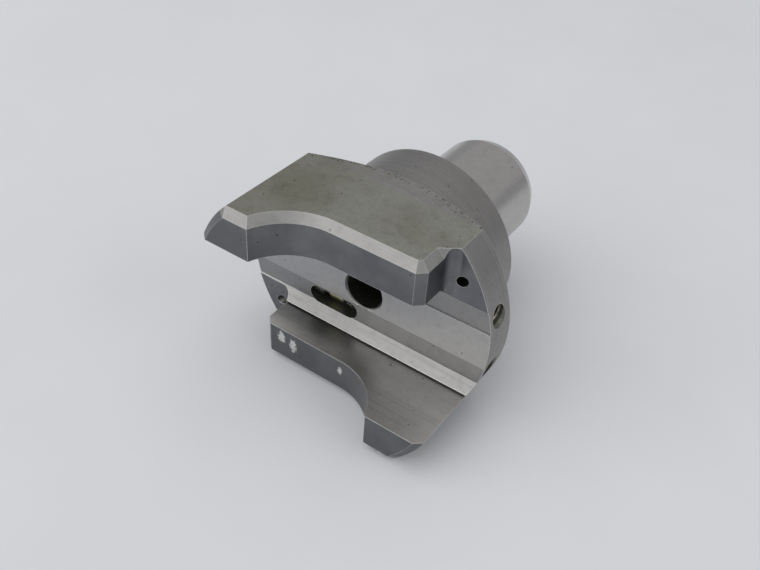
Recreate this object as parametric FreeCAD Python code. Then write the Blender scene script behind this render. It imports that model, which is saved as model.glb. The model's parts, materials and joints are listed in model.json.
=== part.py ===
"""Body of a twin-cutter boring head, with the cutter feed mechanism inside it.

Frame: Y is the tool axis, the jaws point to -Y and the coupling pilot to +Y.
X runs along the cross slot, Z across it.  The origin is on the tool axis, in
the plane of the slot floor.  The head is the same after half a turn about Y,
so one side is modelled, the upper one, and turned over for the other side.
All lengths are in millimetres.
"""
import FreeCAD, Part
import math
import os

from FreeCAD import Vector

# ---------------------------------------------------------------- turned body
HEAD_DIAMETER = 85.0         # over the jaws and the rim
RIM_LENGTH = 11.2            # full diameter behind the slot floor
SHOULDER_ANGLE = 60.0        # half angle of the cone between rim and hub
HUB_DIAMETER = 60.0          # its rear face seats on the adaptor
HUB_REAR = 35.7              # rear face, measured from the slot floor
HUB_EDGE = 0.5               # broken edge of the rear face
FRONT_CHAMFER = 2.2          # turned chamfer on the front of the jaws

# ---------------------------------------------------------------- coupling pilot
PILOT_DIAMETER = 36.0
PILOT_LENGTH = 38.7
PILOT_LEAD_LENGTH = 3.5      # slim lead-in taper at the end of the pilot
PILOT_LEAD_DROP = 1.4        # how much the taper takes off the radius
RELIEF_WIDTH = 1.2           # grinding relief sunk in the rear face round the pilot
RELIEF_DEPTH = 0.5

# ---------------------------------------------------------------- jaws
FLAT_HALF = 30.3             # milled flats, above and below the axis
SLOT_HALF = 17.0             # inner faces of the jaws
JAW_TIP = 26.6               # reach of the jaw tips in front of the slot floor
JAW_FRONT = 13.6             # reach of the straight part of the jaws
HOLLOW_RADIUS = 19.0         # hollow between the tip and the straight part
HOLLOW_START = 2.6           # where the hollow runs into the straight part
NOTCH_WALL = 27.0            # wall of the open chip notch beside each jaw
NOTCH_FILLET = 3.6           # cutter radius between that wall and the notch face
CORNER_BEVEL = 2.4           # bevel on the outer corner of the straight part
EDGE_CHAMFER = 2.4           # wide chamfer along the outline on the outer flat
FACET_RIM_DROP = 1.1         # the chamfer runs out this far below the flat at the rim

# ---------------------------------------------------------------- slot floor
LAND_HALF = 6.4              # raised land along the middle of the floor
STRIP_HALF = 13.1            # outer edge of the relieved strips beside it
STRIP_RELIEF = 0.35          # the strips lie this much deeper than the land
GUIDE_RISE = 3.25            # 45 degree guide faces rise this much from the strips
GROOVE_DEPTH = 1.0           # relief groove between guide face and jaw

# ---------------------------------------------------------------- centre bore
BORE_DIAMETER = 12.5
BORE_MOUTH = 0.6
BORE_DEPTH = 31.0
PLUG_LENGTH = 9.0            # screwed plug that closes the coolant bore
PLUG_SOCKET = 6.0            # across the flats of its hexagon
PLUG_SOCKET_DEPTH = 4.5
COOLANT_DIAMETER = 9.0       # from the plug through the pilot
COOLANT_MOUTH = 1.0

# ---------------------------------------------------------------- coolant outlets
OUTLET_DIAMETER = 3.2
OUTLET_X = 31.4              # mouth in the notch face
OUTLET_Z = 20.1
OUTLET_ANGLE = 40.0          # between the drilling and the tool axis

# ---------------------------------------------------------------- cross bores
FIT = 0.05                   # radial running clearance of all that turns or slides
FEED_Y = 5.1                 # axis of the cross bores, behind the slot floor
FEED_Z = 10.3                # and beside the centre bore
THREAD_DIAMETER = 6.0        # tapped ends of the cross bores
THREAD_MOUTH = 0.3           # countersink of the tapped ends
FEED_BORE_DIAMETER = 5.0     # plain middle of the cross bores
NEAR_THREAD_END = 13.4       # the near thread ends here, under the pocket
FAR_THREAD_END = 7.4         # the far thread ends here, on the far side
POCKET_INNER = 2.1           # obround pocket for the cutter's drive pin, from here
POCKET_OUTER = 20.0          # to here along the slot
POCKET_WIDTH = 5.9

# ---------------------------------------------------------------- feed mechanism
THRUST_OUTER = 14.5          # outer end of the thrust piece
THRUST_LENGTH = 5.5
THRUST_EDGE = 0.3
SCREW_LENGTH = 18.0          # thread of the adjusting screw
SCREW_POINT_LENGTH = 1.7
SCREW_POINT_DIAMETER = 3.9
SCREW_EDGE = 0.6
SOCKET_ACROSS = 3.0          # hexagon of the adjusting and spring screws
SOCKET_DEPTH = 4.0
SPRING_GAP = 2.5             # between the thrust piece and the slack spring
SPRING_SEAT = 8.0            # the spring ends here, on the far side
SPRING_WIRE = 0.8
SPRING_DIAMETER = 4.6        # over the coils
SPRING_PITCH = 2.2
SPRING_CHORDS = 12           # straight chords in each turn
SPRING_SCREW_LENGTH = 16.0

# ---------------------------------------------------------------- coupling pin
PIN_REACH = 12.0             # from the rear face to the axis of the pin
PIN_DIAMETER = 10.0
PIN_SHORTER = 1.4            # the pin is this much shorter than the pilot is wide
PIN_CUP_DIAMETER = 7.4       # conical seats in both ends of the pin
PIN_CUP_DEPTH = 3.7
PIN_WAIST_DIAMETER = 6.0     # lets the coolant past
PIN_WAIST_LENGTH = 11.0
RING_WIRE = 1.6              # rubber ring that holds the pin in its bore
RING_PLACE = 10.0            # from the tool axis

head_radius = HEAD_DIAMETER / 2
hub_radius = HUB_DIAMETER / 2
pilot_radius = PILOT_DIAMETER / 2
pilot_end = HUB_REAR + PILOT_LENGTH
bore_radius = BORE_DIAMETER / 2
coolant_radius = COOLANT_DIAMETER / 2
thread_radius = THREAD_DIAMETER / 2
feed_radius = FEED_BORE_DIAMETER / 2
hollow_centre_y = -JAW_FRONT - HOLLOW_RADIUS
chamfer_foot = FLAT_HALF - EDGE_CHAMFER
clear = 2 * HEAD_DIAMETER    # reaches beyond every surface of the head

ALONG_SLOT = Vector(1, 0, 0)
BACKWARD = Vector(0, 1, 0)
UP = Vector(0, 0, 1)


# ---------------------------------------------------------------- small helpers
def prism(points, direction):
    """A solid from a closed outline of straight lines, pushed along direction."""
    outline = Part.makePolygon(points + [points[0]])
    return Part.Face(outline).extrude(direction)


def rod(radius, start, length, direction):
    return Part.makeCylinder(radius, length, start, direction)


def cone(start_radius, end_radius, start, length, direction):
    return Part.makeCone(start_radius, end_radius, length, start, direction)


def chamfered_rod(radius, start, length, direction, edge):
    """A rod with the edge broken at both ends."""
    blank = rod(radius, start, length, direction)
    rims = [rim for rim in blank.Edges if rim.Closed]
    return blank.makeChamfer(edge, rims)


def half_turn(shape):
    """The same shape on the other side of the head."""
    copy = shape.copy()
    copy.rotate(Vector(0, 0, 0), BACKWARD, 180)
    return copy


def both_sides(shapes):
    return shapes + [half_turn(shape) for shape in shapes]


def hexagon(across, start, depth, direction, side):
    """A hexagonal prism from start along direction, with one corner towards side."""
    reach = across / math.sqrt(3)
    other = direction.cross(side)
    corners = []
    for step in range(6):
        angle = math.radians(60 * step)
        corners.append(start + side * (reach * math.cos(angle)) + other * (reach * math.sin(angle)))
    return prism(corners, direction * depth)


# ---------------------------------------------------------------- head body
def turned_blank():
    """Jaws, rim, cone, hub and pilot before any milling."""
    cone_length = (head_radius - hub_radius) / math.tan(math.radians(SHOULDER_ANGLE))
    relief_radius = pilot_radius + RELIEF_WIDTH
    relief_floor = HUB_REAR - RELIEF_DEPTH
    profile = [
        (0, -JAW_TIP),
        (head_radius - FRONT_CHAMFER, -JAW_TIP),
        (head_radius, -JAW_TIP + FRONT_CHAMFER),
        (head_radius, RIM_LENGTH),
        (hub_radius, RIM_LENGTH + cone_length),
        (hub_radius, HUB_REAR - HUB_EDGE),
        (hub_radius - HUB_EDGE, HUB_REAR),
        (relief_radius, HUB_REAR),
        (relief_radius, relief_floor),
        (pilot_radius, relief_floor),
        (pilot_radius, pilot_end - PILOT_LEAD_LENGTH),
        (pilot_radius - PILOT_LEAD_DROP, pilot_end),
        (0, pilot_end),
    ]
    points = [Vector(radius, y, 0) for radius, y in profile]
    outline = Part.makePolygon(points + [points[0]])
    return Part.Face(outline).revolve(Vector(0, 0, 0), BACKWARD, 360)


def on_arc(centre_x, centre_y, radius, degrees):
    angle = math.radians(degrees)
    return Vector(centre_x + radius * math.cos(angle), centre_y + radius * math.sin(angle), 0)


def jaw_block():
    """The upper jaw in plan, from the tool axis up to the flat."""
    tip_x = -HOLLOW_START - math.sqrt(HOLLOW_RADIUS ** 2 - (hollow_centre_y + JAW_TIP) ** 2)
    tip = Vector(tip_x, -JAW_TIP, 0)
    hollow_middle = on_arc(-HOLLOW_START, hollow_centre_y, HOLLOW_RADIUS, 135)
    hollow_end = Vector(-HOLLOW_START, -JAW_FRONT, 0)
    bevel_start = Vector(NOTCH_WALL - CORNER_BEVEL, -JAW_FRONT, 0)
    bevel_end = Vector(NOTCH_WALL, -JAW_FRONT + CORNER_BEVEL, 0)
    fillet_x = NOTCH_WALL + NOTCH_FILLET
    fillet_start = Vector(NOTCH_WALL, -NOTCH_FILLET, 0)
    fillet_middle = on_arc(fillet_x, -NOTCH_FILLET, NOTCH_FILLET, 135)
    fillet_end = Vector(fillet_x, 0, 0)
    outer_front = Vector(-clear, -JAW_TIP, 0)
    outer_back = Vector(-clear, RIM_LENGTH, 0)
    notch_back = Vector(clear, RIM_LENGTH, 0)
    notch_face = Vector(clear, 0, 0)
    edges = [
        Part.LineSegment(outer_front, tip),
        Part.Arc(tip, hollow_middle, hollow_end),
        Part.LineSegment(hollow_end, bevel_start),
        Part.LineSegment(bevel_start, bevel_end),
        Part.LineSegment(bevel_end, fillet_start),
        Part.Arc(fillet_start, fillet_middle, fillet_end),
        Part.LineSegment(fillet_end, notch_face),
        Part.LineSegment(notch_face, notch_back),
        Part.LineSegment(notch_back, outer_back),
        Part.LineSegment(outer_back, outer_front),
    ]
    outline = Part.Wire([edge.toShape() for edge in edges])
    return Part.Face(outline).extrude(UP * FLAT_HALF)


def chamfer_wedge(front, start_x, end_x):
    """Takes the edge off the flat where the outline runs along the slot."""
    beyond = EDGE_CHAMFER + 1
    foot = Vector(start_x, -front, chamfer_foot)
    points = [
        foot + Vector(0, -1, -1),
        foot + Vector(0, beyond, beyond),
        foot + Vector(0, -1, beyond),
    ]
    return prism(points, ALONG_SLOT * (end_x - start_x))


def outline_chamfer():
    """The wide 45 degree chamfer along the outline of the upper jaw."""
    beyond = EDGE_CHAMFER + 1
    tip = chamfer_wedge(JAW_TIP, -clear, 0)
    front = chamfer_wedge(JAW_FRONT, -HOLLOW_START, clear)
    hollow_start = Vector(-HOLLOW_START, hollow_centre_y, chamfer_foot)
    hollow = cone(HOLLOW_RADIUS, HOLLOW_RADIUS + beyond, hollow_start, beyond, UP)
    foot = Vector(NOTCH_WALL, -JAW_TIP, chamfer_foot)
    points = [
        foot + Vector(1, 0, -1),
        foot + Vector(-beyond, 0, beyond),
        foot + Vector(1, 0, beyond),
    ]
    wall = prism(points, BACKWARD * (JAW_TIP - NOTCH_FILLET))
    return [tip, front, hollow, bevel_chamfer(), wall, notch_facet()]


def bevel_chamfer():
    """The same chamfer across the bevelled corner of the straight part."""
    beyond = EDGE_CHAMFER + 1
    inward = Vector(-1, 1, 0).normalize()
    along = Vector(1, 1, 0).normalize()
    foot = Vector(NOTCH_WALL - CORNER_BEVEL, -JAW_FRONT, chamfer_foot) - along * HOLLOW_RADIUS
    points = [
        foot - inward - UP,
        foot + inward * beyond + UP * beyond,
        foot - inward + UP * beyond,
    ]
    return prism(points, along * (2 * HOLLOW_RADIUS))


def notch_facet():
    """The slanting cut that carries the chamfer across the notch corner to the rim."""
    foot = Vector(NOTCH_WALL, -NOTCH_FILLET, chamfer_foot)
    top = Vector(NOTCH_WALL - EDGE_CHAMFER, -NOTCH_FILLET, FLAT_HALF)
    rim_z = FLAT_HALF - FACET_RIM_DROP
    rim = Vector(math.sqrt(head_radius ** 2 - rim_z ** 2), 0, rim_z)
    across = (rim - foot).normalize()
    normal = across.cross(top - foot).normalize()
    upward = normal.cross(across)
    size = HEAD_DIAMETER
    base = foot - across * size - upward * size
    corners = [
        base,
        base + across * (2 * size),
        base + across * (2 * size) + upward * (2 * size),
        base + upward * (2 * size),
    ]
    slab = prism(corners, normal * size)
    room = Part.makeBox(clear, clear, clear, Vector(0, -NOTCH_FILLET, SLOT_HALF))
    return slab.common(room)


def cross_slot():
    """What is milled away between the jaws, down to the stepped floor."""
    guide_y = STRIP_RELIEF - GUIDE_RISE
    guide_z = STRIP_HALF + GUIDE_RISE
    groove_y = guide_y + GROOVE_DEPTH
    upper = [
        (-clear, SLOT_HALF),
        (groove_y, SLOT_HALF),
        (groove_y, guide_z),
        (guide_y, guide_z),
        (STRIP_RELIEF, STRIP_HALF),
        (STRIP_RELIEF, LAND_HALF),
        (0, LAND_HALF),
    ]
    lower = [(y, -z) for y, z in reversed(upper)]
    points = [Vector(-clear, y, z) for y, z in upper + lower]
    return prism(points, ALONG_SLOT * (2 * clear))


def centre_bores():
    """The front bore with its plug seat, and the coolant bore behind it."""
    front = rod(bore_radius, Vector(0, 0, 0), BORE_DEPTH, BACKWARD)
    mouth = cone(bore_radius + BORE_MOUTH, bore_radius, Vector(0, 0, 0), BORE_MOUTH, BACKWARD)
    coolant = rod(coolant_radius, Vector(0, 0, 0), pilot_end, BACKWARD)
    inlet_start = Vector(0, pilot_end - COOLANT_MOUTH, 0)
    inlet = cone(coolant_radius, coolant_radius + COOLANT_MOUTH, inlet_start, COOLANT_MOUTH, BACKWARD)
    return [front, mouth, coolant, inlet]


def coolant_outlet():
    """Drilled from the notch face, inwards and backwards, into the coolant bore."""
    radial = Vector(OUTLET_X, 0, OUTLET_Z)
    tilt = math.radians(OUTLET_ANGLE)
    inward = (radial * -1).normalize()
    direction = inward * math.sin(tilt) + BACKWARD * math.cos(tilt)
    start = radial - direction * OUTLET_DIAMETER
    length = radial.Length / math.sin(tilt) + OUTLET_DIAMETER
    return rod(OUTLET_DIAMETER / 2, start, length, direction)


def feed_bore():
    """The upper cross bore: its near end is on +X, its far end on -X."""
    plain_start = Vector(-FAR_THREAD_END, FEED_Y, FEED_Z)
    plain = rod(feed_radius, plain_start, FAR_THREAD_END + NEAR_THREAD_END, ALONG_SLOT)
    near = rod(thread_radius, Vector(NEAR_THREAD_END, FEED_Y, FEED_Z), clear, ALONG_SLOT)
    far = rod(thread_radius, plain_start, clear, ALONG_SLOT * -1)
    cuts = [plain, near, far, drive_pocket()]
    rim_x = math.sqrt(head_radius ** 2 - FEED_Z ** 2)
    for direction in (ALONG_SLOT, ALONG_SLOT * -1):
        deepest = Vector(0, FEED_Y, FEED_Z) + direction * (rim_x - thread_radius)
        size = 2 * thread_radius + THREAD_MOUTH
        cuts.append(cone(THREAD_MOUTH, size + THREAD_MOUTH, deepest, size, direction))
    return cuts


def drive_pocket():
    """Obround opening from the floor strip down to the cross bore."""
    radius = POCKET_WIDTH / 2
    inner = Vector(POCKET_INNER + radius, 0, FEED_Z)
    outer = Vector(POCKET_OUTER - radius, 0, FEED_Z)
    ends = [rod(radius, centre, FEED_Y, BACKWARD) for centre in (inner, outer)]
    middle = Part.makeBox(outer.x - inner.x, FEED_Y, POCKET_WIDTH, inner - UP * radius)
    return middle.fuse(ends)


def pin_bore():
    """Cross bore of the pilot for the floating coupling pin."""
    start = Vector(-pilot_radius, HUB_REAR + PIN_REACH, 0)
    return rod(PIN_DIAMETER / 2 + FIT, start, PILOT_DIAMETER, ALONG_SLOT)


def head_body():
    blank = turned_blank()
    flats = Part.makeBox(2 * clear, 2 * clear, 2 * FLAT_HALF, Vector(-clear, -clear, -FLAT_HALF))
    behind_floor = Part.makeBox(2 * clear, clear, 2 * clear, Vector(-clear, 0, -clear))
    kept = behind_floor.fuse(both_sides([jaw_block()]))
    body = blank.common(flats).common(kept)
    body = body.cut(both_sides(outline_chamfer()))
    body = body.cut(cross_slot())
    body = body.cut(centre_bores() + [pin_bore()])
    body = body.cut(both_sides([coolant_outlet()]))
    body = body.cut(both_sides(feed_bore()))
    return body.removeSplitter()


# ---------------------------------------------------------------- feed mechanism
def set_screw(outer_x, length):
    """Threaded part of a socket set screw in the upper cross bore, its hexagon at outer_x."""
    start = Vector(outer_x, FEED_Y, FEED_Z)
    inward = ALONG_SLOT * -1
    screw = chamfered_rod(thread_radius - FIT, start, length, inward, SCREW_EDGE)
    return screw.cut(hexagon(SOCKET_ACROSS, start, SOCKET_DEPTH, inward, UP))


def adjusting_screw():
    """Pushes on the thrust piece with a plain point."""
    point_end = Vector(THRUST_OUTER, FEED_Y, FEED_Z)
    overlap = SCREW_EDGE
    point = rod(SCREW_POINT_DIAMETER / 2, point_end, SCREW_POINT_LENGTH + overlap, ALONG_SLOT)
    screw = set_screw(THRUST_OUTER + SCREW_POINT_LENGTH + SCREW_LENGTH, SCREW_LENGTH)
    return screw.fuse(point).removeSplitter()


def thrust_piece():
    """Slides in the plain bore, between the screw and the cutter's drive pin."""
    start = Vector(THRUST_OUTER - THRUST_LENGTH, FEED_Y, FEED_Z)
    return chamfered_rod(feed_radius - FIT, start, THRUST_LENGTH, ALONG_SLOT, THRUST_EDGE)


def return_spring():
    """Wire coil, slack, from the far screw into the pocket, in short chords of hexagonal wire."""
    free_end = THRUST_OUTER - THRUST_LENGTH - SPRING_GAP
    coil_radius = (SPRING_DIAMETER - SPRING_WIRE) / 2
    height = free_end + SPRING_SEAT - SPRING_WIRE
    last = round(height / SPRING_PITCH * SPRING_CHORDS)
    path = []
    for step in range(last + 1):
        turn = 2 * math.pi * step / SPRING_CHORDS
        sideways = Vector(math.cos(turn), math.sin(turn), 0) * coil_radius
        path.append(sideways + UP * (height * step / last))
    section = []
    for corner in range(6):
        angle = math.radians(60 * corner)
        offset = Vector(math.cos(angle), 0, math.sin(angle)) * (SPRING_WIRE / 2)
        section.append(path[0] + offset)
    outline = Part.makePolygon(section + [section[0]])
    coil = Part.makePolygon(path).makePipeShell([outline], True, False, 1)
    coil.rotate(Vector(0, 0, 0), BACKWARD, 90)
    coil.translate(Vector(-SPRING_SEAT + SPRING_WIRE / 2, FEED_Y, FEED_Z))
    return coil


def spring_screw():
    """Closes the far end of the cross bore and carries the spring."""
    screw = set_screw(SPRING_SEAT + SPRING_SCREW_LENGTH, SPRING_SCREW_LENGTH)
    screw.translate(UP * (-2 * FEED_Z))
    return half_turn(screw)


# ---------------------------------------------------------------- centre bore and pilot
def bore_plug():
    """Screwed in from the front, against the step at the coolant bore."""
    start = Vector(0, BORE_DEPTH - PLUG_LENGTH, 0)
    plug = chamfered_rod(bore_radius - FIT, start, PLUG_LENGTH, BACKWARD, SCREW_EDGE)
    return plug.cut(hexagon(PLUG_SOCKET, start, PLUG_SOCKET_DEPTH, BACKWARD, UP))


def coupling_pin():
    """Floating pin with a conical seat at each end and a waist for the coolant."""
    length = PILOT_DIAMETER - PIN_SHORTER
    centre = Vector(0, HUB_REAR + PIN_REACH, 0)
    radius = PIN_DIAMETER / 2
    pin = chamfered_rod(radius, centre - ALONG_SLOT * (length / 2), length, ALONG_SLOT, SCREW_EDGE)
    waist_start = centre - ALONG_SLOT * (PIN_WAIST_LENGTH / 2)
    waist = ring_cut(radius, PIN_WAIST_DIAMETER / 2, waist_start, PIN_WAIST_LENGTH)
    groove_start = centre + ALONG_SLOT * (RING_PLACE - RING_WIRE / 2 - FIT)
    groove = ring_cut(radius, radius - RING_WIRE, groove_start, RING_WIRE + 2 * FIT)
    cups = []
    for side in (1, -1):
        end = centre + ALONG_SLOT * (side * length / 2)
        cups.append(cone(PIN_CUP_DIAMETER / 2, 0, end, PIN_CUP_DEPTH, ALONG_SLOT * -side))
    return pin.cut([waist, groove] + cups)


def ring_cut(outer_radius, inner_radius, start, length):
    """A ring about a line along the slot, for turning a groove into a pin."""
    outer = rod(outer_radius + FIT, start, length, ALONG_SLOT)
    return outer.cut(rod(inner_radius, start, length, ALONG_SLOT))


def coupling_pin_ring():
    """Rubber ring of six-sided section, in its groove."""
    section = []
    for corner in range(6):
        angle = math.radians(60 * corner)
        radial = (PIN_DIAMETER - RING_WIRE + RING_WIRE * math.cos(angle)) / 2
        along = RING_WIRE / 2 * math.sin(angle)
        section.append(Vector(RING_PLACE + along, HUB_REAR + PIN_REACH + radial, 0))
    outline = Part.makePolygon(section + [section[0]])
    return Part.Face(outline).revolve(Vector(0, HUB_REAR + PIN_REACH, 0), ALONG_SLOT, 360)


# ---------------------------------------------------------------- export
def save(name, shape):
    solid = shape.Solids[0]
    verdict = "valid" if solid.isValid() and len(shape.Solids) == 1 else "NOT VALID"
    print(name, round(solid.Volume, 1), "mm3", verdict)
    solid.exportStep("parts/" + name + ".step")


def save_pair(name, upper):
    save(name + "_upper", upper)
    save(name + "_lower", half_turn(upper))


def main():
    os.makedirs("parts", exist_ok=True)
    save("head_body", head_body())
    save_pair("adjusting_screw", adjusting_screw())
    save_pair("thrust_piece", thrust_piece())
    save_pair("return_spring", return_spring())
    save_pair("spring_screw", spring_screw())
    save("bore_plug", bore_plug())
    save("coupling_pin", coupling_pin())
    save("coupling_pin_ring", coupling_pin_ring())


main()
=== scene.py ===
# %% [markdown]
# # The body of a twin-cutter boring head
#
# A boring head opens up a hole on a milling machine.  This one carries two cutters in a wide cross slot.  The
# cutters are off, so the slot floor, the bores under it and the little feed mechanism are open to view.
#
# The machined form comes from the CAD model, which is loaded as a fixed frame.  This script adds what CAD leaves
# out: the finish of each machined surface, the real threads, the round spring wire, and the studio around it.

# %% Load the CAD frame
import bpy
import json
import math
from mathutils import Matrix, Vector


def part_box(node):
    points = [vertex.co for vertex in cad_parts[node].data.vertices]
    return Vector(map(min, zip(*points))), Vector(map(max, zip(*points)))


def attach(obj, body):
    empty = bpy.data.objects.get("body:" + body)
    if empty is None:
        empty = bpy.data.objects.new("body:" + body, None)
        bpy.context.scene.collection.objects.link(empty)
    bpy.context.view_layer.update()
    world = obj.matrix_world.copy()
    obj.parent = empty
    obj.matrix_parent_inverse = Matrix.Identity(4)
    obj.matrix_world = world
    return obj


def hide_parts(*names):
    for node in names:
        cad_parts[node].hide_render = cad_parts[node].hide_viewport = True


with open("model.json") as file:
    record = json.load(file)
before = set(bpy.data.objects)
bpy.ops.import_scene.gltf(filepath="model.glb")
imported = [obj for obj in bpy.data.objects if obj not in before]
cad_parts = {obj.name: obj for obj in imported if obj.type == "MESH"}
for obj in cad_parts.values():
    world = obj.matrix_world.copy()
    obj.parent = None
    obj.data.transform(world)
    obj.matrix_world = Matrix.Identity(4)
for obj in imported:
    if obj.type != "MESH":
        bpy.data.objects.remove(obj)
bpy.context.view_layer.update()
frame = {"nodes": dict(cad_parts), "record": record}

MM = 0.001
nodes = frame["nodes"]
mounts = {mount["name"]: mount for mount in frame["record"]["mounts"]}
print("nodes:", ", ".join(sorted(nodes)))

# %% [markdown]
# ## Sizes that the finishes and the threads need
#
# Every place comes from the CAD frame, either from a node's box or from a mount, so a changed CAD size carries
# over.  The shaders below work in millimetres, because scratches and specks are easier to think of that way.

# %% Read the sizes from the frame
_, head_high = (Vector(corner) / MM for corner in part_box("head_body"))
HEAD_RADIUS = head_high.x
FLAT_Z = mounts["upper_flat"]["pos_m"][2] / MM
openings = {opening["name"]: opening["box_m"] for opening in frame["record"]["physics"]["openings"]}
JAW_FACE_Z = round(openings["cutter_slot"][1][2] / MM, 1)
GUIDE_FOOT = openings["cutter_slot_floor"][1][2] / MM + 0.1
HUB_REAR = mounts["rear_face"]["pos_m"][1] / MM
PILOT_RADIUS = mounts["coupling_pilot"]["dims"]["r_mm"]
print("head radius", round(HEAD_RADIUS, 2), "flat", FLAT_Z, "jaw face", JAW_FACE_Z, "rear face", round(HUB_REAR, 2))

# %% [markdown]
# ## Camera
#
# The camera stands in front of the head, to its right and well above it, and is rolled a little, as a camera held
# by hand would be.  A real camera is set with a place, three angles and a lens, and no constraint is needed.

# %% Set up the camera
CAMERA_PLACE = Vector((110.2, -164.7, 167.4)) * MM
CAMERA_ANGLES = (49.77, -3.31, 35.08)
LENS = 41.7
SENSOR_WIDTH = 36
SHIFT = (-0.0015, 0.0092)

camera_data = bpy.data.cameras.new("camera")
camera_data.lens = LENS
camera_data.sensor_width = SENSOR_WIDTH
camera_data.shift_x, camera_data.shift_y = SHIFT
camera_data.clip_start = 0.01
camera = bpy.data.objects.new("camera", camera_data)
camera.location = CAMERA_PLACE
camera.rotation_euler = [math.radians(angle) for angle in CAMERA_ANGLES]
bpy.context.collection.objects.link(camera)
bpy.context.scene.camera = camera
print("camera is", round(CAMERA_PLACE.length, 3), "m from the slot floor")

# %% [markdown]
# ## Floor, world and lamps
#
# Bare steel has hardly any colour of its own.  What makes it look like steel is what it mirrors, so a metal part
# wants large soft lamps and a pale room, never small bright bulbs.  The head lies on its lower flat on a pale floor
# that curves up all round, far away, so no view shows a hard horizon.  One wide lamp at the front left lights the
# chamfers, and two weaker ones, at the right and above, keep the turned rim and the pilot from going black.

# %% Build the floor sheet
def new_object(name, mesh):
    piece = bpy.data.objects.new(name, mesh)
    bpy.context.collection.objects.link(piece)
    return piece


def bowl_profile(flat, bend, steps):
    """Distance from the middle and height, along a floor that turns up in an arc at its rim."""
    profile = []
    for step in range(steps + 1):
        angle = math.pi / 2 * step / steps
        profile.append((flat + bend * math.sin(angle), bend * (1 - math.cos(angle))))
    return profile


FLOOR_Z = mounts["lower_flat"]["pos_m"][2]
FLOOR_RADIUS = 4.5
RIM_BEND = 1.5
AROUND = 96
corners = [(0, 0, FLOOR_Z)]
for reach, height in bowl_profile(FLOOR_RADIUS, RIM_BEND, steps=12):
    for step in range(AROUND):
        turn = 2 * math.pi * step / AROUND
        corners.append((reach * math.cos(turn), reach * math.sin(turn), height + FLOOR_Z))
rows = len(corners) // AROUND
faces = [(0, 1 + step, 1 + (step + 1) % AROUND) for step in range(AROUND)]
for row in range(rows - 1):
    for step in range(AROUND):
        here = 1 + row * AROUND
        after = (step + 1) % AROUND
        faces.append((here + step, here + AROUND + step, here + AROUND + after, here + after))
sheet_mesh = bpy.data.meshes.new("floor_sheet")
sheet_mesh.from_pydata(corners, [], faces)
sheet_mesh.shade_smooth()
floor_sheet = new_object("floor_sheet", sheet_mesh)
print("floor sheet has", len(faces), "faces, at", round(FLOOR_Z / MM, 2), "mm")

# %% Hang the lamps
def soft_lamp(name, place, size, power):
    """A square area lamp at place, in metres, aimed at the head."""
    data = bpy.data.lights.new(name, "AREA")
    data.shape = "SQUARE"
    data.size = size
    data.energy = power
    lamp = bpy.data.objects.new(name, data)
    lamp.location = place
    lamp.visible_camera = False
    lamp.rotation_euler = (-Vector(place)).to_track_quat("-Z", "Y").to_euler()
    bpy.context.collection.objects.link(lamp)
    return lamp


soft_lamp("lamp_front_left", (-0.75, -1.15, 1.20), 2.60, 22.0)
soft_lamp("lamp_right", (1.50, 0.30, 1.00), 1.00, 3.5)
soft_lamp("lamp_above", (-0.10, 0.35, 1.60), 1.20, 3.0)

ROOM_COLOUR = (0.80, 0.81, 0.83, 1)
ROOM_STRENGTH = 0.58
world = bpy.data.worlds.new("studio")
world.use_nodes = True
background = world.node_tree.nodes["Background"]
background.inputs["Color"].default_value = ROOM_COLOUR
background.inputs["Strength"].default_value = ROOM_STRENGTH
bpy.context.scene.world = world
bpy.context.scene.view_settings.view_transform = "Standard"
print("lamps:", [lamp.name for lamp in bpy.data.lights])

# %% [markdown]
# ## Writing shader maths as Python
#
# A worn steel surface needs many small sums: how far a point is from an edge, how much of two colours to mix, where
# a stain fades out.  Every sum is a node, and wiring nodes one by one is hard to read.  So one small class wraps a
# socket and lets Python's own `+ - * /` add the Math nodes.  Its reflected forms make `1 - mask` work as well.

# %% The socket class
class Wire:
    """One output socket of a material's node tree, usable in Python sums."""

    def __init__(self, finish, socket):
        self.finish = finish
        self.socket = socket

    def math(self, operation, *values):
        node = self.finish.node("ShaderNodeMath", {"operation": operation}, dict(enumerate(values)))
        return self.finish.wire(node)

    def __add__(self, other):
        return self.math("ADD", self, other)

    __radd__ = __add__

    def __sub__(self, other):
        return self.math("SUBTRACT", self, other)

    def __rsub__(self, other):
        return self.math("SUBTRACT", other, self)

    def __mul__(self, other):
        return self.math("MULTIPLY", self, other)

    __rmul__ = __mul__

    def __truediv__(self, other):
        return self.math("DIVIDE", self, other)

    def __pow__(self, other):
        return self.math("POWER", self, other)

    def __abs__(self):
        return self.math("ABSOLUTE", self)

    def above(self, low, high):
        """0 below low, 1 above high, and a soft step between."""
        settings = {"interpolation_type": "SMOOTHSTEP"}
        sockets = {"Value": self, "From Min": low, "From Max": high}
        return self.finish.wire(self.finish.node("ShaderNodeMapRange", settings, sockets))

    def below(self, low, high):
        return 1 - self.above(low, high)

    def near(self, centre, reach, soft):
        """1 within reach of centre, fading to 0 over soft."""
        return abs(self - centre).below(reach, reach + soft)


print("a wire knows:", [name for name in vars(Wire) if not name.startswith("__")])
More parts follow.
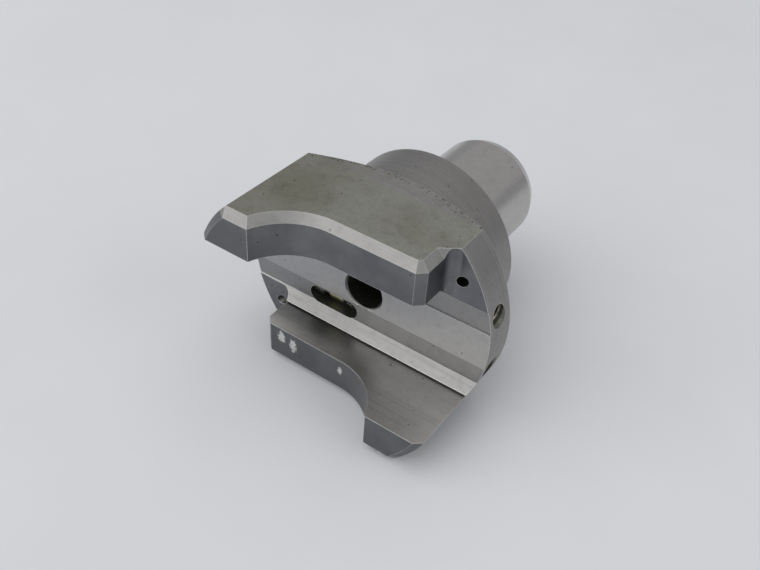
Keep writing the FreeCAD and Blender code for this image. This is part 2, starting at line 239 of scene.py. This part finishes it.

# %% [markdown]
# The second class holds one material.  Its `node` method is the only place where other nodes are made: it takes the
# node's type, the settings that have to be set first, and the values or links of its sockets.  The patterns that
# every finish shares follow as short methods: clouds, brushed lines, small pits, and the two geometry readings that
# find sharp edges, which get wear and a painted highlight, and hollow corners, which get painted shade.

# %% The finish class
class Finish:
    """A material under construction, with positions in millimetres."""

    def __init__(self, name):
        self.material = bpy.data.materials.new(name)
        self.material.use_nodes = True
        self.tree = self.material.node_tree
        self.tree.nodes.clear()
        place = self.node("ShaderNodeTexCoord").outputs["Object"]
        self.place = self.vector("SCALE", place, scale=1 / MM)
        self.x, self.y, self.z = self.parts(self.place)

    def node(self, kind, settings=None, sockets=None):
        node = self.tree.nodes.new(kind)
        for name, value in (settings or {}).items():
            setattr(node, name, value)
        for key, value in (sockets or {}).items():
            if isinstance(value, Wire):
                value = value.socket
            if isinstance(value, bpy.types.NodeSocket):
                self.tree.links.new(value, node.inputs[key])
            else:
                node.inputs[key].default_value = value
        return node

    def wire(self, node, output=0):
        return Wire(self, node.outputs[output])

    def vector(self, operation, first, second=None, scale=None):
        """A Vector Math node's vector result."""
        sockets = {0: first}
        if second is not None:
            sockets[1] = second
        if scale is not None:
            sockets["Scale"] = scale
        return self.wire(self.node("ShaderNodeVectorMath", {"operation": operation}, sockets))

    def parts(self, vector):
        node = self.node("ShaderNodeSeparateXYZ", None, {0: vector})
        return [self.wire(node, index) for index in range(3)]

    def mix(self, factor, first, second):
        """A colour between first, at 0, and second, at 1."""
        colours = {0: factor, 6: self.colour(first), 7: self.colour(second)}
        return self.wire(self.node("ShaderNodeMix", {"data_type": "RGBA"}, colours), 2)

    def colour(self, value):
        return value if isinstance(value, Wire) else (*value, 1)

    def blend(self, factor, first, second):
        """A number between first and second."""
        return first + factor * (second - first)

    def cloud(self, size, detail=3.0, stretch=(1, 1, 1), shift=0.0):
        """Soft noise between 0 and 1, with lumps of about size millimetres."""
        scaled = self.vector("MULTIPLY", self.place, tuple(1 / (size * part) for part in stretch))
        moved = self.vector("ADD", scaled, (shift, shift * 1.7, shift * 2.3))
        sockets = {"Vector": moved, "Scale": 1.0, "Detail": detail, "Roughness": 0.6}
        return self.wire(self.node("ShaderNodeTexNoise", None, sockets))

    def ring_cloud(self, radius, size):
        """Fine lines that run round the tool axis, as turning leaves them."""
        across = (self.y + radius * 0.8) / size
        along = self.vector("SCALE", self.place, scale=0.02)
        x, y, z = self.parts(along)
        place = self.wire(self.node("ShaderNodeCombineXYZ", None, {0: across, 1: x, 2: z}))
        return self.wire(self.node("ShaderNodeTexNoise", None, {"Vector": place, "Scale": 1.0, "Detail": 2.0}))

    def pits(self, spacing, radius, shift=0.0):
        """1 inside small scattered dots, with ragged edges."""
        ragged = self.vector("SCALE", self.place, scale=1 / spacing)
        noise = self.node("ShaderNodeTexNoise", None, {"Vector": ragged, "Scale": 3.0, "Detail": 2.0})
        bent = self.vector("SCALE", self.wire(noise, 1), scale=0.35)
        moved = self.vector("ADD", self.vector("ADD", ragged, bent), (shift, shift, shift))
        node = self.node("ShaderNodeTexVoronoi", {"feature": "F1"}, {"Vector": moved, "Scale": 1.0})
        reach = radius / spacing
        return self.wire(node, "Distance").below(reach * 0.6, reach)

    def paint_marks(self, marks):
        """Ragged patches, each given by its middle and reach along X and Z."""
        ragged = (self.cloud(0.7, detail=6, shift=12.0) - 0.5) * 5.0
        total = 0.0
        for middle_x, middle_z, reach_x, reach_z in marks:
            off_x = (self.x - middle_x) / reach_x
            off_z = (self.z - middle_z) / reach_z
            total = total + (off_x * off_x + off_z * off_z + ragged).below(0.2, 1.3)
        return total.above(0, 1)

    def normal_parts(self):
        return self.parts(self.wire(self.node("ShaderNodeNewGeometry"), "True Normal"))

    def rounded(self, radius):
        """The surface direction as if every edge were rounded by radius millimetres."""
        return self.wire(self.node("ShaderNodeBevel", {"samples": 6}, {"Radius": radius * MM}))

    def edge(self, radius):
        """1 on sharp edges, in a line about radius millimetres wide."""
        flat = self.wire(self.node("ShaderNodeNewGeometry"), "True Normal")
        node = self.node("ShaderNodeVectorMath", {"operation": "DOT_PRODUCT"}, {0: self.rounded(radius), 1: flat})
        return (1 - self.wire(node, "Value")).above(0.01, 0.10)

    def shade_in_corners(self, distance):
        """1 in hollow corners, 0 in the open: the mask for painted shade."""
        sockets = {"Distance": distance * MM}
        node = self.node("ShaderNodeAmbientOcclusion", {"samples": 8}, sockets)
        return 1 - self.wire(node, "AO")

    def bump(self, height, strength, normal):
        sockets = {"Height": height, "Strength": strength, "Distance": MM * 0.1, "Normal": normal}
        return self.wire(self.node("ShaderNodeBump", None, sockets))

    def shade(self, **sockets):
        """Closes the material with one principled shader."""
        names = {name.replace("_", " "): value for name, value in sockets.items()}
        shader = self.node("ShaderNodeBsdfPrincipled", None, names)
        self.node("ShaderNodeOutputMaterial", None, {"Surface": shader.outputs[0]})
        return self.material


print("a finish knows:", [name for name in vars(Finish) if not name.startswith("__")])

# %% [markdown]
# ## The floor's finish
#
# A plain pale sheet, a little uneven so that it doesn't look like a void.

# %% Finish the floor
def floor_finish():
    finish = Finish("floor_paper")
    shade = finish.cloud(60, detail=4)
    tone = finish.mix(shade, (0.70, 0.71, 0.73), (0.76, 0.77, 0.79))
    return finish.shade(Base_Color=tone, Roughness=0.9)


floor_sheet.data.materials.append(floor_finish())
print("floor finished")

# %% [markdown]
# ## The steel of the head
#
# One solid carries many finishes, because each surface was cut in its own way:
#
# - the two outer flats and the jaw walls are as milled, hardened and dulled by oil film,
# - the wide chamfers were ground last, and stayed bright,
# - the slot floor and the inner jaw faces are ground along the slot,
# - rim, cone and hub are turned, so their lines run round the axis,
# - the coupling pilot is ground fine,
# - the bores are coloured dark.
#
# A mesh could be cut into one piece for each finish, but then an edge between two of them could never show wear
# across it.  So one material looks at where a point lies and which way its surface faces, and mixes the finishes.

# %% Find the zones of the head
RIM_BACK = 11.2
SHOULDER_SLOPE = math.tan(math.radians(60))
CHAMFER_DROP = 2.5
INNER_FACE_FRONT = -2.2
BORE_WALL = PILOT_RADIUS - 3
BORE_END = HUB_REAR + 33


def head_zones(finish):
    """Masks of the head's machined surfaces, as a dictionary of wires."""
    x, y, z = finish.x, finish.y, finish.z
    nx, ny, nz = finish.normal_parts()
    height = abs(z)
    radius = (x * x + z * z) ** 0.5
    level = abs(nz)
    outward = (x * nx + z * nz) / radius
    behind = y.above(0.4, 0.6)
    flat = level.above(0.97, 0.99) * height.above(FLAT_Z - 0.2, FLAT_Z - 0.1)
    slanted = level.above(0.3, 0.35) * level.below(0.93, 0.95)
    outside = radius.above(HEAD_RADIUS - 0.2, HEAD_RADIUS - 0.1) * outward.above(0.9, 0.95)
    cone = y.above(RIM_BACK - 0.1, RIM_BACK) * radius.above(BORE_WALL, BORE_WALL + 1)
    turned = (outside + cone).above(0, 0.9)
    high = height.above(FLAT_Z - CHAMFER_DROP - 0.1, FLAT_Z - CHAMFER_DROP)
    chamfer = slanted * high * y.below(0.1, 0.3) * (1 - outside)
    between_jaws = height.below(JAW_FACE_Z + 0.1, JAW_FACE_Z + 0.2)
    inner_face = level.above(0.97, 0.99) * between_jaws * y.below(INNER_FACE_FRONT - 0.1, INNER_FACE_FRONT)
    guide = slanted * height.below(JAW_FACE_Z, JAW_FACE_Z + 0.1) * y.below(0.3, 0.4) * (1 - outside)
    front = ny.below(-0.97, -0.9)
    floor = front * y.above(-0.5, -0.3) * height.below(GUIDE_FOOT + 0.1, GUIDE_FOOT + 0.2)
    strip = floor * y.above(0.15, 0.2)
    notch = front * y.above(-0.5, -0.3) * height.above(GUIDE_FOOT + 0.1, GUIDE_FOOT + 0.2)
    pilot = y.above(HUB_REAR, HUB_REAR + 0.1)
    inside = behind * (1 - outside)
    bore = inside * radius.below(BORE_WALL, BORE_WALL + 1) * y.below(BORE_END, BORE_END + 1)
    under_flats = height.below(FLAT_Z - 1.0, FLAT_Z - 0.9)
    side_bore = inside * y.below(RIM_BACK - 0.6, RIM_BACK - 0.5) * under_flats
    hole = (bore + side_bore).above(0, 0.9) * (1 - floor) * (1 - turned)
    return {
        "flat": flat, "turned": turned, "chamfer": chamfer, "inner_face": inner_face, "guide": guide,
        "floor": floor, "strip": strip, "notch": notch, "pilot": pilot, "hole": hole, "radius": radius,
    }


print("zones use a head radius of", round(HEAD_RADIUS, 2), "and a pilot radius of", PILOT_RADIUS, "mm")

# %% [markdown]
# ### Mixing the head's finish
#
# The base is a neutral steel grey.  Each zone then changes three things: the colour, the roughness and the fine
# relief.  The colours below are what the bare surface would show in white light.  Old oil turns steel a little
# brown or olive, so the flats are warmer than the ground faces.

# %% Mix the steel of the head
def mix_zones(finish, zones, start, values, mixer):
    """Lays each zone's value over the one before it."""
    result = start
    for name, value in values:
        result = mixer(zones[name], result, value)
    return result


HEAD_COLOURS = [
    ("flat", (0.285, 0.283, 0.245)),
    ("chamfer", (0.345, 0.34, 0.33)),
    ("inner_face", (0.60, 0.585, 0.555)),
    ("floor", (0.41, 0.41, 0.42)),
    ("strip", (0.29, 0.29, 0.295)),
    ("guide", (0.36, 0.355, 0.345)),
    ("notch", (0.17, 0.175, 0.19)),
    ("turned", (0.285, 0.274, 0.265)),
    ("pilot", (0.52, 0.50, 0.48)),
    ("hole", (0.17, 0.17, 0.145)),
]
HEAD_ROUGHNESS = [
    ("flat", 0.52),
    ("chamfer", 0.54),
    ("inner_face", 0.38),
    ("floor", 0.33),
    ("strip", 0.38),
    ("guide", 0.46),
    ("notch", 0.36),
    ("turned", 0.40),
    ("pilot", 0.26),
    ("hole", 0.45),
]
WALL_COLOUR = (0.145, 0.15, 0.16)
WALL_ROUGHNESS = 0.38
JAW_FRONT = round(-openings["chip_space_upper"][1][1] / MM, 1)
OLIVE_TINT = (0.185, 0.185, 0.135)
BROWN_FILM = (0.13, 0.125, 0.105)
BARE_PATCH = (0.42, 0.41, 0.40)
FINE_GRAIN = (0.10, 0.10, 0.085)
OLD_STAIN = (0.12, 0.13, 0.13)
WHITE_PAINT = (0.62, 0.63, 0.60)
BRIGHT_LINE = (0.66, 0.65, 0.63)
DARK_LINE = (0.24, 0.23, 0.21)
PIT_COLOUR = (0.035, 0.03, 0.025)
# the colour of the painted shade in hollow corners
CORNER_SHADE_COLOUR = (0.06, 0.054, 0.045)
# the colour of worn edges, brightened further as a painted highlight
WORN_EDGE_AND_HIGHLIGHT = (0.80, 0.79, 0.77)
PAINT_MARKS = [(-20.3, -20.3, 1.5, 2.4), (-15.8, -21.6, 1.4, 2.6), (2.2, -21.0, 0.9, 1.4)]


def head_finish():
    finish = Finish("head_steel")
    zones = head_zones(finish)
    x, y, z = finish.x, finish.y, finish.z
    colour = mix_zones(finish, zones, WALL_COLOUR, HEAD_COLOURS, finish.mix)
    rough = mix_zones(finish, zones, WALL_ROUGHNESS, HEAD_ROUGHNESS, finish.blend)

    # clouds of oil film, and finer mottling in them; the flats also turn darker and more olive towards their left end
    film = finish.cloud(22, detail=4)
    mottle = finish.cloud(2.6, detail=5, shift=3.0)
    olive = zones["flat"] * (film.above(0.35, 0.7) * 0.45 + x.below(-34, 12) * 0.45)
    colour = finish.mix(olive, colour, OLIVE_TINT)
    colour = finish.mix(mottle.above(0.45, 0.75) * (0.16 + zones["flat"] * 0.22), colour, BROWN_FILM)
    colour = finish.mix(film.below(0.3, 0.55) * 0.18, colour, BARE_PATCH)
    grain = finish.cloud(0.5, detail=3, shift=14.0).above(0.46, 0.66)
    colour = finish.mix(grain * (0.10 + zones["flat"] * 0.14), colour, FINE_GRAIN)

    # an old oil stain on one inner face, and worn white marking paint on one jaw front
    lower_side = z.below(-0.6, -0.5)
    stain = zones["inner_face"] * lower_side * x.near(-20, 7, 14) * y.near(-4, 2, 7)
    colour = finish.mix(stain * (0.35 + film * 0.6), colour, OLD_STAIN)
    paint = finish.paint_marks(PAINT_MARKS) * y.near(-JAW_FRONT, 0.12, 0.05) * lower_side
    colour = finish.mix(paint * 0.8, colour, WHITE_PAINT)

    # fine lines left by grinding and turning
    along_slot = finish.cloud(0.22, detail=2, stretch=(90, 1, 1))
    broad_lines = finish.cloud(0.9, detail=2, stretch=(60, 1, 1), shift=5.0)
    ring_lines = finish.ring_cloud(zones["radius"], 0.16)
    ground = (zones["inner_face"] + zones["guide"] + zones["chamfer"] * 0.6 + zones["floor"] * 0.35).above(0, 1)
    lines = ground * (along_slot - 0.5) + zones["turned"] * (ring_lines - 0.5)
    colour = finish.mix((lines * 1.5).above(0.0, 0.4) * 0.25, colour, BRIGHT_LINE)
    colour = finish.mix((ground * broad_lines).above(0.5, 0.75) * 0.30, colour, DARK_LINE)

    # dark pits everywhere, crowded along the back edge of the flats
    from_back = RIM_BACK + (HEAD_RADIUS - zones["radius"]) / SHOULDER_SLOPE - y
    back_edge = zones["flat"] * from_back.below(0.3, 3.4)
    chips = finish.cloud(1.5, detail=5, shift=11.0).above(0.50, 0.60)
    chipped = zones["flat"] * from_back.below(0.15, 0.9) * chips
    sparse = finish.pits(2.9, 0.27) * finish.cloud(7, shift=7.0).above(0.46, 0.54)
    crowded = finish.pits(1.1, 0.36, shift=4.0) * finish.cloud(2.4, shift=9.0).above(0.40, 0.48) * back_edge
    pits = (sparse + crowded + chipped).above(0, 0.9)
    colour = finish.mix(pits * 0.85, colour, PIT_COLOUR)

    # painted shade in hollow corners; on sharp edges, wear brightened further as a painted highlight
    corner_shade = finish.shade_in_corners(1.2).above(0.35, 0.8)
    colour = finish.mix(corner_shade * 0.4, colour, CORNER_SHADE_COLOUR)
    edge_wear_and_highlight = finish.edge(0.28) * (1 - corner_shade) * (1 - zones["hole"])
    colour = finish.mix(edge_wear_and_highlight * 0.85, colour, WORN_EDGE_AND_HIGHLIGHT)

    rough = rough + (film - 0.5) * 0.14 + (mottle - 0.5) * 0.10 + pits * 0.25 + corner_shade * 0.2
    height = lines * 0.6 + mottle * 0.25 * zones["flat"] - pits * 1.5
    normal = finish.bump(height, 0.35, finish.rounded(0.12))
    metal = 1.0 - zones["flat"] * 0.25 - paint
    return finish.shade(Base_Color=colour, Roughness=rough + paint * 0.3, Metallic=metal, Normal=normal)


print("zones with a colour of their own:", len(HEAD_COLOURS))

# %% [markdown]
# ## The small steel parts
#
# The screws are blackened, so they are dark, with thread crests and edges brighter, partly from wear and partly as a
# painted highlight.  The thrust pieces are pale ground steel under yellow oil, the springs are plain drawn wire, and
# the coupling pin is hardened and ground.

# %% Finishes of the small parts
def steel_finish(name, colour, dark, roughness, line_size=0.12, wear_and_highlight=0.8, film=0.0):
    """Steel with oil clouds, fine turning lines along X, painted shade in hollow corners, and worn edges brightened
    further as a painted highlight.
    """
    finish = Finish(name)
    cloud = finish.cloud(2.4, detail=4)
    fine = finish.cloud(0.5, detail=3, shift=2.0)
    lines = finish.cloud(line_size, detail=1, stretch=(1, 30, 30))
    tone = finish.mix(cloud.above(0.35, 0.7), colour, dark)
    tone = finish.mix(fine.above(0.5, 0.8) * 0.3, tone, tuple(part * 0.4 for part in dark))
    # painted shade: hollow corners are darkened almost to black
    tone = finish.mix(finish.shade_in_corners(0.8).above(0.4, 0.9) * 0.6, tone, (0.03, 0.027, 0.02))
    # worn edges, brightened further as a painted highlight
    tone = finish.mix(finish.edge(0.08) * wear_and_highlight, tone, (0.60, 0.58, 0.54))
    if film:
        tone = finish.mix(finish.cloud(3.5, shift=6.0).above(0.4, 0.6) * film, tone, (0.42, 0.38, 0.16))
    rough = roughness + (cloud - 0.5) * 0.2 + (fine - 0.5) * 0.1
    normal = finish.bump(lines + fine * 0.5, 0.25, finish.rounded(0.05))
    return finish.shade(Base_Color=tone, Roughness=rough, Metallic=1.0, Normal=normal)


def rubber_finish():
    finish = Finish("ring_rubber")
    cloud = finish.cloud(0.6, detail=4)
    tone = finish.mix(cloud, (0.018, 0.018, 0.019), (0.045, 0.043, 0.04))
    normal = finish.bump(cloud, 0.2, finish.rounded(0.05))
    return finish.shade(Base_Color=tone, Roughness=0.5 + cloud * 0.3, Normal=normal)


HEAD_STEEL = head_finish()
SCREW_STEEL = steel_finish("screw_steel", (0.16, 0.155, 0.15), (0.07, 0.068, 0.066), 0.38)
THRUST_STEEL = steel_finish("thrust_steel", (0.55, 0.53, 0.42), (0.36, 0.34, 0.25), 0.30, film=0.6)
SPRING_STEEL = steel_finish("spring_steel", (0.40, 0.40, 0.39), (0.22, 0.21, 0.19), 0.34)
PLUG_STEEL = steel_finish("plug_steel", (0.13, 0.13, 0.13), (0.06, 0.06, 0.06), 0.42)
PIN_STEEL = steel_finish("pin_steel", (0.48, 0.47, 0.45), (0.30, 0.29, 0.27), 0.28)
THREAD_STEEL = steel_finish("thread_steel", (0.34, 0.31, 0.26), (0.16, 0.14, 0.11), 0.36)
RING_RUBBER = rubber_finish()
print("finishes:", [material.name for material in bpy.data.materials])

# %% Give the CAD nodes their finishes
def set_finish(piece, material):
    piece.data.materials.clear()
    piece.data.materials.append(material)


set_finish(nodes["head_body"], HEAD_STEEL)
set_finish(nodes["coupling_pin"], PIN_STEEL)
for side in ("upper", "lower"):
    set_finish(nodes["thrust_piece_" + side], THRUST_STEEL)
print("finished nodes: head_body, coupling_pin and the thrust pieces")

# %% [markdown]
# ## Real threads
#
# CAD leaves screws as plain rods, because a thread makes a solid heavy and nothing is gained in a collision test.
# Here each screw gets its real thread.  A threaded rod is a stack of rings along its axis: at each ring, a point's
# distance from the axis follows the thread's profile, which moves once round the rod for each pitch.  The same
# profile, a little larger, lines the tapped holes, so screw and hole mesh.  When a screw turns it also moves by one
# pitch per turn, which leaves the profile where it was, so they still mesh at every pose.

# %% Stack rings into a solid
SEGMENTS = 32
RINGS_PER_PITCH = 12


def ring_stack(name, rings, closed=False):
    """A mesh from rings with equal numbers of points, capped at both ends or closed on itself."""
    count = len(rings[0])
    points = [point for ring in rings for point in ring]
    faces = []
    rows = len(rings) if closed else len(rings) - 1
    for row in range(rows):
        here = row * count
        there = (row + 1) % len(rings) * count
        for step in range(count):
            after = (step + 1) % count
            faces.append((here + step, here + after, there + after, there + step))
    if not closed:
        faces.append(tuple(reversed(range(count))))
        faces.append(tuple(range(len(points) - count, len(points))))
    mesh = bpy.data.meshes.new(name)
    mesh.from_pydata([tuple(point) for point in points], [], faces)
    mesh.validate()
    mesh.update()
    mesh.shade_smooth()
    mesh.set_sharp_from_angle(angle=math.radians(38))
    return mesh


def ring_round(place, radius):
    """One ring about the X axis at place, where radius is a number or a function of the turn."""
    ring = []
    for step in range(SEGMENTS):
        turn = 2 * math.pi * step / SEGMENTS
        reach = radius(turn) if callable(radius) else radius
        ring.append(Vector((place, reach * math.cos(turn), reach * math.sin(turn))) * MM)
    return ring


def hexagon_radius(across):
    """Distance from the axis to a hexagon's side, for each turn, with a corner at every 60 degrees."""
    def reach(turn):
        inside = turn % (math.pi / 3) - math.pi / 6
        return across / 2 / math.cos(inside)
    return reach


def thread_radius(place, pitch, middle, depth, limit=math.inf):
    """The thread's distance from the axis at place, as a function of the turn."""
    def reach(turn):
        wave = 1.5 * math.cos(2 * math.pi * (place / pitch) - turn)
        return min(middle + depth / 2 * max(-1.0, min(1.0, wave)), limit)
    return reach


print("a ring has", SEGMENTS, "points, a thread pitch", RINGS_PER_PITCH, "rings")

# %% [markdown]
# ### The set screws
#
# A set screw has a hexagon socket in its outer end and a chamfer that leads into the thread.  The two adjusting
# screws also have a plain point at the inner end, which pushes on the thrust piece.  Each screw is turned out of
# one bar, so it is one closed stack of rings, from the bottom of the socket out, over the end and along the thread.

# %% Make a set screw
def set_screw(name, outer, inner, crest, depth, socket, socket_depth, edge, pitch=1.0, point=None):
    """Rings from the socket's floor outwards, then along the thread from outer down to inner."""
    rings = [
        ring_round(outer - socket_depth - 0.25 * socket, 0.05 * socket),
        ring_round(outer - socket_depth, 0.46 * socket),
        ring_round(outer - socket_depth, hexagon_radius(socket)),
        ring_round(outer - 0.25, hexagon_radius(socket)),
        ring_round(outer, hexagon_radius(socket * 1.1)),
    ]
    middle = crest - depth / 2
    steps = round((outer - inner) / pitch * RINGS_PER_PITCH)
    for step in range(steps + 1):
        place = outer - step * (outer - inner) / steps
        from_end = min(outer - place, place - inner)
        rings.append(ring_round(place, thread_radius(place, pitch, middle, depth, crest - edge + from_end)))
    if point:
        radius, tip = point
        rings.append(ring_round(inner, radius))
        rings.append(ring_round(tip + 0.2, radius))
        rings.append(ring_round(tip, radius - 0.2))
    return ring_stack(name, rings)


def on_both_sides(name, mesh, place, body, material, node=None, sides=("upper", "lower")):
    """Puts a piece at place, named for the first side, and its twin, turned over, on the other side."""
    for side, angle in zip(sides, (0, math.pi)):
        twin = mesh.copy()
        twin.transform(Matrix.Rotation(angle, 4, "Y") @ Matrix.Translation(place))
        piece = new_object(name + "_" + side, twin)
        twin.materials.append(material)
        if node:
            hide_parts(node + "_" + side)
        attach(piece, body.replace("SIDE", side))


feed_low, feed_high = (Vector(corner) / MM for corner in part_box("adjusting_screw_upper"))
FEED_AXIS = (feed_low + feed_high) / 2
FEED_PLACE = Vector((0, FEED_AXIS.y, FEED_AXIS.z)) * MM
CREST = (feed_high.z - feed_low.z) / 2 - 0.02
DEPTH = 0.40
SOCKET = 3.0
SOCKET_DEPTH = 4.0
END_CHAMFER = 0.5
POINT_LENGTH = 1.7
POINT_RADIUS = 1.95
adjusting = set_screw("adjusting_screw", feed_high.x, feed_low.x + POINT_LENGTH, CREST, DEPTH, SOCKET, SOCKET_DEPTH,
                      END_CHAMFER, point=(POINT_RADIUS, feed_low.x))
on_both_sides("adjusting_thread", adjusting, FEED_PLACE, "screw_SIDE", SCREW_STEEL, "adjusting_screw")
print("adjusting screw:", len(adjusting.vertices), "points,", round(feed_high.x - feed_low.x, 2), "mm long")

# %% Make the spring screws
spring_low, spring_high = (Vector(corner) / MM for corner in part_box("spring_screw_lower"))
spring_screw = set_screw("spring_screw", spring_high.x, spring_low.x, CREST, DEPTH, SOCKET, SOCKET_DEPTH,
                         END_CHAMFER)
far_place = Vector((0, FEED_AXIS.y, -FEED_AXIS.z)) * MM
on_both_sides("spring_thread", spring_screw, far_place, "head", SCREW_STEEL, "spring_screw",
              sides=("lower", "upper"))
print("spring screw:", len(spring_screw.vertices), "points")

# %% [markdown]
# ### The tapped holes
#
# Each hole's thread is a thin threaded tube set into the plain bore of the CAD solid.  It starts a little behind
# the screw's outer end, where nothing can look past the screw, and runs to the countersink at the rim.

# %% Line the tapped holes
def thread_lining(name, start, end, outer, depth, pitch=1.0):
    """A closed tube with a thread inside, about the X axis."""
    middle = outer - depth / 2
    steps = round((end - start) / pitch * RINGS_PER_PITCH)
    rings = [ring_round(start, outer + 0.02), ring_round(end, outer + 0.02)]
    for step in range(steps + 1):
        place = end - step * (end - start) / steps
        fade = min(1.0, (end - place) / 0.3 + 0.1)
        rings.append(ring_round(place, thread_radius(place, pitch, middle + (1 - fade) * depth / 2, depth * fade)))
    return ring_stack(name, rings, closed=True)


HOLE_RADIUS = 3.0
LINING_DEPTH = 0.34
BEHIND_THE_RIM = 0.35
rim_place = math.sqrt(HEAD_RADIUS ** 2 - (FEED_AXIS.z + HOLE_RADIUS) ** 2) - BEHIND_THE_RIM
near_lining = thread_lining("near_lining", feed_high.x - 3.4, rim_place, HOLE_RADIUS, LINING_DEPTH)
on_both_sides("near_hole_thread", near_lining, FEED_PLACE, "head", THREAD_STEEL)
far_lining = thread_lining("far_lining", spring_high.x - 1.0, rim_place, HOLE_RADIUS, LINING_DEPTH)
on_both_sides("far_hole_thread", far_lining, far_place, "head", THREAD_STEEL)
print("linings:", len(near_lining.vertices), "and", len(far_lining.vertices), "points, up to x =", round(rim_place, 2))

# %% [markdown]
# ### Plug, springs and rubber ring
#
# The plug that closes the coolant bore is a larger set screw.  The return springs are drawn wire: a circle swept
# along a helix, with the last turn at each end wound close, as springs are, so that they sit square.  The rubber
# ring that keeps the coupling pin in place is a plain round cord in its groove.

# %% Make the plug
plug_low, plug_high = (Vector(corner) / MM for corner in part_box("bore_plug"))
plug = set_screw("plug", -plug_low.y, -plug_high.y, plug_high.x - 0.02, depth=0.5, socket=6.0, socket_depth=4.5,
                 edge=0.6)
plug.transform(Matrix.Rotation(-math.pi / 2, 4, "Z"))
plug.materials.append(PLUG_STEEL)
plug_piece = new_object("bore_plug_thread", plug)
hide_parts("bore_plug")
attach(plug_piece, "head")
print("plug from y =", round(plug_low.y, 2), "to", round(plug_high.y, 2))

# %% Make the springs
def spring_mesh(name, start, end, radius, wire, turns, steps_per_turn=20, around=8):
    """Round wire wound about the X axis, with close end turns."""
    closed_turns = 1.0
    close_step = wire * 1.04
    open_length = end - start - wire - 2 * closed_turns * close_step
    open_turns = turns - 2 * closed_turns
    rings = []
    total = round(turns * steps_per_turn)
    for step in range(total + 1):
        turn = turns * step / total
        low = min(turn, closed_turns)
        high = max(0.0, turn - (turns - closed_turns))
        middle = turn - low - high
        place = start + wire / 2 + (low + high) * close_step + middle * open_length / open_turns
        angle = 2 * math.pi * turn
        outward = Vector((0, math.cos(angle), math.sin(angle)))
        centre = Vector((place, 0, 0)) + outward * radius
        ring = []
        for corner in range(around):
            lean = 2 * math.pi * corner / around
            offset = outward * math.cos(lean) + Vector((math.sin(lean), 0, 0))
            ring.append((centre + offset * (wire / 2)) * MM)
        rings.append(ring)
    return ring_stack(name, rings)


coil_low, coil_high = (Vector(corner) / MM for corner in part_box("return_spring_upper"))
WIRE = 0.8
COIL_RADIUS = (coil_high.z - coil_low.z) / 2 - WIRE / 2
coil = spring_mesh("coil", coil_low.x, coil_high.x, COIL_RADIUS, WIRE, turns=7.5)
on_both_sides("spring_coil", coil, FEED_PLACE, "head", SPRING_STEEL, "return_spring")
print("spring from x =", round(coil_low.x, 2), "to", round(coil_high.x, 2), "mm")

# %% Make the rubber ring
ring_low, ring_high = (Vector(corner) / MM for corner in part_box("coupling_pin_ring"))
ring_centre = (ring_low + ring_high) / 2
cord_radius = (ring_high.x - ring_low.x) / 2
loop_radius = (ring_high.z - ring_low.z) / 2 - cord_radius
RING_AROUND = 16
cord = []
for corner in range(RING_AROUND):
    lean = 2 * math.pi * corner / RING_AROUND
    cord.append(ring_round(ring_centre.x + cord_radius * math.sin(lean), loop_radius + cord_radius * math.cos(lean)))
ring_mesh = ring_stack("rubber_ring", cord, closed=True)
ring_mesh.transform(Matrix.Translation(Vector((0, ring_centre.y, 0)) * MM))
ring_mesh.materials.append(RING_RUBBER)
ring_piece = new_object("pin_rubber_ring", ring_mesh)
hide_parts("coupling_pin_ring")
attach(ring_piece, "pilot_pin")
print("ring", round(2 * (loop_radius + cord_radius), 2), "mm across")

# %% [markdown]
